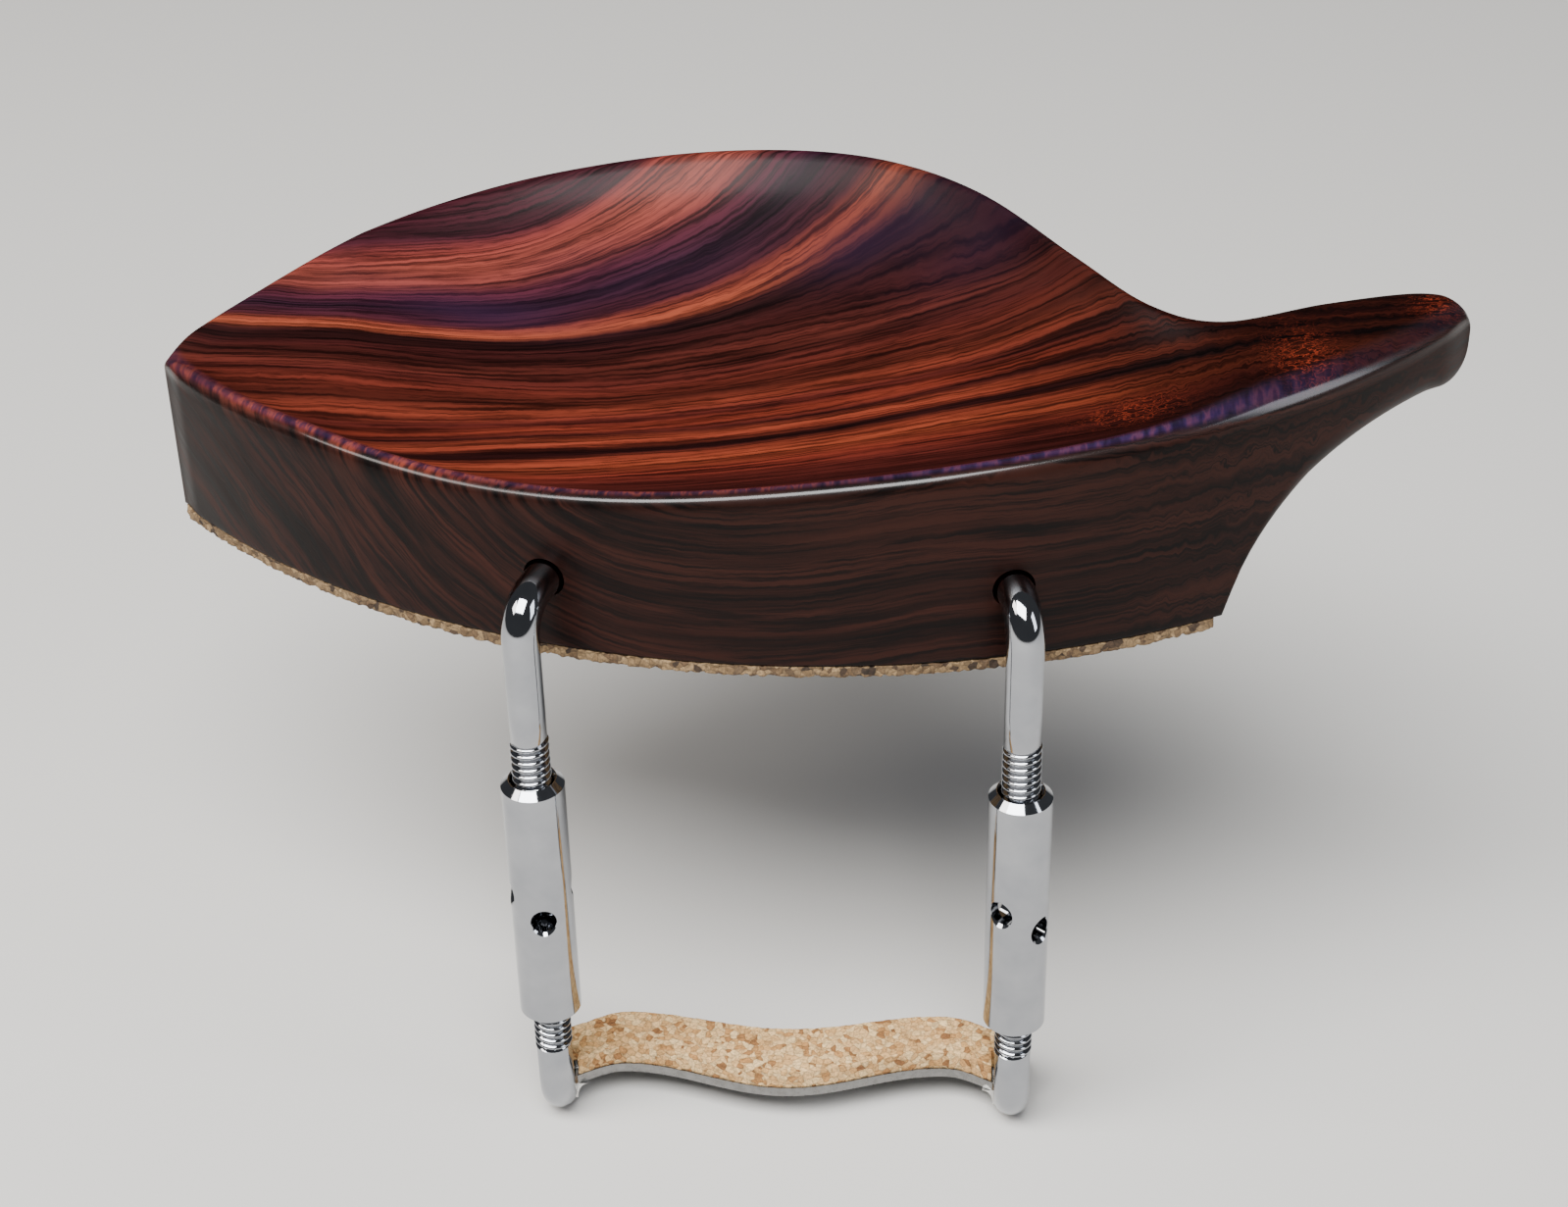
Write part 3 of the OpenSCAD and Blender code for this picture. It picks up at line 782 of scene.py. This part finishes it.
# %% Hooks
THREAD_START, HOOK_END, RUN_OUT = -5.2, -19.6, 0.35
for side, name in ((-1, "left"), (1, "right")):
    bar = bmesh.new()
    # the plain rod starts with a small taper where the rolled thread runs out
    ring = rod_start(bar, THREAD_START - RUN_OUT, ROOT_R)
    bmesh.ops.contextual_create(bar, geom=ring)
    ring = draw_out(bar, ring, (0, 0, RUN_OUT), ROD_R / ROOT_R)
    for k in range(3):
        ring = draw_out(bar, ring, (0, 0, (HOOK_H - BEND_R - THREAD_START) / 3))
    ring = bend(bar, ring, (0, BEND_R, HOOK_H - BEND_R), (1, 0, 0), -90)
    ring = draw_out(bar, ring, (0, wall_gap(side) + HOOK_GRIP - BEND_R - 0.5, 0))
    ring = draw_out(bar, ring, (0, 0.5, 0), 0.8)
    bmesh.ops.contextual_create(bar, geom=ring)
    hook = joined([bar, thread(HOOK_END, THREAD_START, 1)])
    bmesh.ops.transform(hook, verts=hook.verts, matrix=hook_place(side))
    finished("Hook_" + name, hook, "plate", ["hook_" + name], chrome, sharp=60)

# %% [markdown]
# ## Barrels
# A barrel is turned from bar: faced, chamfered at both ends, drilled through and tapped
# with a right-hand thread at one end and a left-hand one at the other. A lathe is a spin,
# so the wall's closed section is spun round. Extra rows along its length keep the faces
# small where two key holes are drilled across it.

# %% Barrel body
BARREL_R, BARREL_LEN, BARREL_TOP, CHAMFER, BORE_R = 2.72, 25.5, 9.1, 0.65, 1.74
KEY_R, KEY_SINK = 1.1, 0.28
KEY_HOLES = ((13.7, 0), (11.7, -85))


def barrel(low, turn):
    """A barrel whose lower end is at a height, with its lower key hole at an angle."""
    rows = 24
    straight = BARREL_LEN - 2 * CHAMFER
    outline = [(BORE_R, 0.3), (BORE_R + 0.25, 0), (BARREL_R - CHAMFER, 0)]
    outline += [(BARREL_R, CHAMFER + straight * i / rows) for i in range(rows + 1)]
    outline += [(BARREL_R - CHAMFER, BARREL_LEN), (BORE_R + 0.25, BARREL_LEN), (BORE_R, BARREL_LEN - 0.3)]
    outline += [(BORE_R, 0.3 + (BARREL_LEN - 0.6) * i / rows) for i in range(rows - 1, 0, -1)]
    bm = bmesh.new()
    points = [bm.verts.new((r, 0, low + h)) for r, h in outline]
    edges = [bm.edges.new((points[i - 1], points[i])) for i in range(len(points))]
    bmesh.ops.spin(bm, geom=points + edges, cent=(0, 0, 0), axis=(0, 0, 1), dvec=(0, 0, 0),
                   angle=math.tau, steps=96, use_merge=True, use_duplicate=False)
    for depth, more in KEY_HOLES:
        flat = Matrix.Rotation(math.radians(turn + more), 4, "Z") @ Matrix.Rotation(math.radians(90), 4, "X")
        at = Matrix.Translation((0, 0, low + BARREL_LEN - depth)) @ flat
        drill = bmesh.new()
        half = BARREL_R + 1
        profile = ((0, -half), (KEY_R + 1 + KEY_SINK, -half), (KEY_R, -BARREL_R + KEY_SINK),
                   (KEY_R, BARREL_R - KEY_SINK), (KEY_R + 1 + KEY_SINK, half), (0, half))
        points = [drill.verts.new((r, 0, h)) for r, h in profile]
        edges = [drill.edges.new(pair) for pair in zip(points, points[1:])]
        bmesh.ops.spin(drill, geom=points + edges, cent=(0, 0, 0), axis=(0, 0, 1), dvec=(0, 0, 0),
                       angle=math.tau, steps=40, use_merge=True, use_duplicate=False)
        bmesh.ops.remove_doubles(drill, verts=drill.verts, dist=0.001)
        bmesh.ops.transform(drill, verts=drill.verts, matrix=at)
        bm = cut(bm, drill)
    return bm


for side, name, body, drop, turn in ((-1, "left", "barrel_l", 0, 9), (1, "right", "barrel_r", 0.7, 50)):
    turned = barrel(-BARREL_TOP - drop - BARREL_LEN, turn)
    bmesh.ops.translate(turned, verts=turned.verts, vec=(side * LEG_X, LEG_Y, 0))
    finished("Barrel_" + name, turned, body, ["barrel_" + name], chrome)

# %% [markdown]
# ## Legs
# The legs carry the left-hand thread, bend inwards under the instrument and end in short
# stubs. A flat is filed on top of each stub, and the foot bar is soldered to it.

# %% Legs
LEG_END, THREAD_END, STUB_DEPTH, STUB_END = -25.4, -38.5, 46.0, -0.6
STUB_FLAT = 0.2
BAR_Z = -STUB_DEPTH + ROD_R - STUB_FLAT
for side, name in ((-1, "left"), (1, "right")):
    bar = bmesh.new()
    ring = rod_start(bar, THREAD_END + RUN_OUT, ROOT_R)
    bmesh.ops.contextual_create(bar, geom=ring)
    ring = draw_out(bar, ring, (0, 0, -RUN_OUT), ROD_R / ROOT_R)
    ring = draw_out(bar, ring, (0, 0, -STUB_DEPTH + BEND_R - THREAD_END))
    ring = bend(bar, ring, (0, BEND_R, -STUB_DEPTH + BEND_R), (1, 0, 0), 90)
    ring = draw_out(bar, ring, (0, STUB_END - LEG_Y - BEND_R - 0.3, 0))
    ring = draw_out(bar, ring, (0, 0.3, 0), 0.85)
    bmesh.ops.contextual_create(bar, geom=ring)
    leg = joined([bar, thread(THREAD_END, LEG_END, -1)])
    bmesh.ops.translate(leg, verts=leg.verts, vec=(side * LEG_X, LEG_Y, 0))
    finished("Leg_" + name, leg, "foot", ["leg_" + name], chrome, sharp=60)

# %% [markdown]
# ## The foot bar and its cork
# The bar is cut from strip in a gentle wave, so that it clears the rounded edge of the
# violin's back. A long grid is bent to the wave, its ends are notched round the uprights,
# and it is extruded to its thickness. The cork is the same shape, 2 mm thick.

# %% Wavy outline
BAR_T, BAR_HALF, BAR_MID_Y, BAR_WAVE, BAR_BEND, BAR_W = 0.95, 21.5, -5.1, 2.5, 14.5, 5.0
FOOT_CORK_T = 2.0
NOTCH_X, NOTCH_Y = LEG_X - ROD_R - 0.1, LEG_Y + BEND_R + 0.15


def bar_line(x):
    """Middle of the bar along Y."""
    d = abs(x)
    phase = 180 * d / BAR_BEND if d < BAR_BEND else min(360, 180 + 26 * (d - BAR_BEND))
    return BAR_MID_Y + BAR_WAVE * (1 - math.cos(math.radians(phase))) / 2


def bar_width(x):
    return BAR_W + 0.9 * math.cos(math.radians(min(90, 90 * abs(x) / BAR_BEND))) ** 2


def wavy_strip(trim, low, high, cells, layers):
    """A flat wavy bar with notched ends, between two heights."""
    bm = bmesh.new()
    bmesh.ops.create_grid(bm, x_segments=cells, y_segments=max(4, cells // 8), size=0.5)
    for v in bm.verts:
        x = v.co.x * 2 * (BAR_HALF - trim)
        v.co = Vector((x, bar_line(x) + v.co.y * (bar_width(x) - 2 * trim), low))
    for side in (-1, 1):
        saw_cuts = (((side * (NOTCH_X - trim), 0, 0), (side, 0, 0)), ((0, NOTCH_Y + trim, 0), (0, 1, 0)))
        for place, facing in saw_cuts:
            bmesh.ops.bisect_plane(bm, geom=bm.verts[:] + bm.edges[:] + bm.faces[:], dist=0.0001,
                                   plane_co=place, plane_no=facing)
    notched = [face for face in bm.faces if abs(face.calc_center_median().x) > NOTCH_X - trim
               and face.calc_center_median().y < NOTCH_Y + trim]
    bmesh.ops.delete(bm, geom=notched, context="FACES")
    bmesh.ops.remove_doubles(bm, verts=bm.verts, dist=0.01)
    grown = bmesh.ops.extrude_face_region(bm, geom=bm.faces[:], use_keep_orig=True)["geom"]
    lid = [v for v in grown if isinstance(v, bmesh.types.BMVert)]
    bmesh.ops.translate(bm, verts=lid, vec=(0, 0, high - low))
    if layers > 1:
        upright = [e for e in bm.edges if abs(e.verts[0].co.z - e.verts[1].co.z) > 0.1]
        bmesh.ops.subdivide_edges(bm, edges=upright, cuts=layers - 1)
    return bm


def eased(bm, width, segments):
    """Rounds the corner edges of a flat piece."""
    bmesh.ops.recalc_face_normals(bm, faces=bm.faces)
    edges = [e for e in bm.edges if e.calc_face_angle(0) > math.radians(50)]
    bmesh.ops.bevel(bm, geom=edges, offset=width, offset_type="OFFSET", segments=segments, profile=0.5,
                    affect="EDGES", clamp_overlap=True, material=-1)


strip = wavy_strip(0, BAR_Z, BAR_Z + BAR_T, 86, 1)
eased(strip, 0.15, 2)
finished("Foot_Bar", strip, "foot", ["foot_bar"], nickel)

# %% [markdown]
# ## Cork
# Sheet cork for instruments is granulated bark, pressed and glued: grains of 0.5 to 1 mm
# in several tans, with a few dark ones. It is cut with a knife, so the edge crumbles.
# Voronoi cells give each grain its own tone, and the edge is roughened in the mesh.


# %% Cork
def cork(name, grain_mm, tones, pit):
    """Granulated cork with grains of one size and a ramp of tones."""
    made, tree = new_material(name)
    place = add(tree, "TexCoord").outputs["Object"]
    warp = add(tree, "TexNoise", {"Vector": place, "Scale": 900.0, "Detail": 2.0})
    offset = add(tree, "VectorMath", {0: warp.outputs[1], 1: (0.0006, 0.0006, 0.0006)}, operation="MULTIPLY")
    moved = add(tree, "VectorMath", {0: place, 1: offset.outputs[0]}, operation="ADD")
    cells = add(tree, "TexVoronoi", {"Vector": moved.outputs[0], "Scale": 1000 / grain_mm})
    edges = add(tree, "TexVoronoi", {"Vector": moved.outputs[0], "Scale": 1000 / grain_mm},
                feature="DISTANCE_TO_EDGE")
    pick = add(tree, "SeparateColor", {0: cells.outputs["Color"]})
    tone = add(tree, "ValToRGB", {0: pick.outputs[0]}, stops=tones)
    seam = add(tree, "ValToRGB", {0: edges.outputs[0]}, stops=[(0.0, 0.5), (0.1, 1.0)])
    speck = add(tree, "TexNoise", {"Vector": place, "Scale": 4500.0, "Detail": 3.0, "Roughness": 0.7})
    dust = add(tree, "ValToRGB", {0: speck.outputs[0]}, stops=[(0.35, 0.5), (0.60, 1.08)])
    colour = add(tree, "Mix", {FACTOR: 0.8, A: tone.outputs[0], B: seam.outputs[0]},
                 blend_type="MULTIPLY", **MIX)
    colour = add(tree, "Mix", {FACTOR: 0.9, A: colour.outputs[MIXED], B: dust.outputs[0]},
                 blend_type="MULTIPLY", **MIX)
    height = add(tree, "Math", {0: seam.outputs[0], 1: speck.outputs[0]}, operation="ADD")
    bump = add(tree, "Bump", {"Strength": 0.6, "Distance": pit, "Height": height.outputs[0]})
    shader = add(tree, "BsdfPrincipled", {"Base Color": colour.outputs[MIXED], "Roughness": 0.85, "IOR": 1.45,
                                          "Normal": bump.outputs[0]})
    add(tree, "OutputMaterial", {"Surface": shader.outputs[0]})
    return made


TAN = [
    (0.0, "#C99C64"), (0.25, "#DFB47C"), (0.5, "#EAC791"), (0.75, "#D0A267"), (0.9, "#B5824C"),
    (1.0, "#875A34"),
]
BROWN = [(0.0, "#5E4832"), (0.35, "#7A6244"), (0.7, "#957B59"), (0.9, "#4A3828"), (1.0, "#30241A")]
foot_cork = cork("granulated_cork", 0.6, TAN, 0.0001)
sheet_cork = cork("sheet_cork", 0.6, BROWN, 0.00008)


def crumble(bm, amount, size):
    """Moves each vertex by a little noise, as a knife leaves cork.

    The noise has no fixed seed, so the crumbs differ a little from run to run.
    """
    for v in bm.verts:
        v.co += noise.noise_vector(v.co / size) * amount


CORK_LOW = BAR_Z + BAR_T
pad = wavy_strip(0.12, CORK_LOW, CORK_LOW + FOOT_CORK_T, 150, 8)
eased(pad, 0.12, 1)
crumble(pad, 0.07, 0.5)
for v in pad.verts:
    v.co.z = min(max(v.co.z, CORK_LOW), CORK_LOW + FOOT_CORK_T)
finished("Foot_Cork", pad, "foot", ["foot_cork"], foot_cork, sharp=75)

# %% Plate cork
LEDGE_RIGHT = 36.8


def cork_ring(x):
    f, edge = front(x), max(ledge(x), front(x) + 0.4)
    sides = (
        (between((f, CORK_T), (edge, CORK_T)), edge - f, 12),
        (between((edge, CORK_T), (edge, 0)), CORK_T, 5),
        (between((edge, 0), (f, 0)), edge - f, 12),
        (between((f, 0), (f, CORK_T)), CORK_T, 7),
    )
    return [Vector((x, y, z)) for y, z in rounded(sides, (0.05, 0.15, 0.2, 0.05), 3)]


CORK_SECTIONS, CORK_INSET, CORK_SHORTER = 520, 0.3, 0.5
cork_length = LEDGE_RIGHT - PLATE_LEFT - CORK_SHORTER
stations = [PLATE_LEFT + CORK_INSET + cork_length * i / CORK_SECTIONS for i in range(CORK_SECTIONS + 1)]
sheet = rolled([cork_ring(x) for x in stations])
for v in sheet.verts:
    near_edge = v.co.y - front(v.co.x) < 0.6
    v.co += noise.noise_vector(v.co / 0.5) * (0.24 if near_edge else 0.03)
    v.co.z = min(max(v.co.z, 0), CORK_T)
    v.co.y = max(v.co.y, front(v.co.x) - 0.02)
finished("Plate_Cork", sheet, "plate", ["plate_cork"], sheet_cork, sharp=75)

# %% [markdown]
# ## Solder
# Silver solder runs into the corner between each leg and the bar and freezes in a small
# concave fillet. A wedge with one rounded face stands for it.

# %% Solder fillets
solder = plated("silver_solder", "#C9C8C4", 0.3, 0.5, 0.00003)
FILLET_W, FILLET_H, FILLET_TOE, FILLET_FRONT, FILLET_BACK = 1.3, 1.7, 0.3, -6.8, -3.6
for side, name in ((-1, "left"), (1, "right")):
    bm = bmesh.new()
    inner = side * (NOTCH_X + 0.4)
    corner = [(inner, 0), (inner - side * FILLET_W, 0)]
    for k in range(1, 5):
        a = k / 5 * math.pi / 2
        reach = FILLET_W - (FILLET_W - FILLET_TOE) * math.sin(a)
        corner.append((inner - side * reach, -FILLET_H * (1 - math.cos(a))))
    corner += [(inner - side * FILLET_TOE, -FILLET_H), (inner, -FILLET_H)]
    points = [bm.verts.new((x, FILLET_FRONT, BAR_Z + z)) for x, z in corner]
    face = bm.faces.new(points)
    grown = bmesh.ops.extrude_face_region(bm, geom=[face], use_keep_orig=True)["geom"]
    bmesh.ops.translate(bm, verts=[v for v in grown if isinstance(v, bmesh.types.BMVert)],
                        vec=(0, FILLET_BACK - FILLET_FRONT, 0))
    bmesh.ops.recalc_face_normals(bm, faces=bm.faces)
    finished("Solder_" + name, bm, "foot", ["braze_" + name], solder)
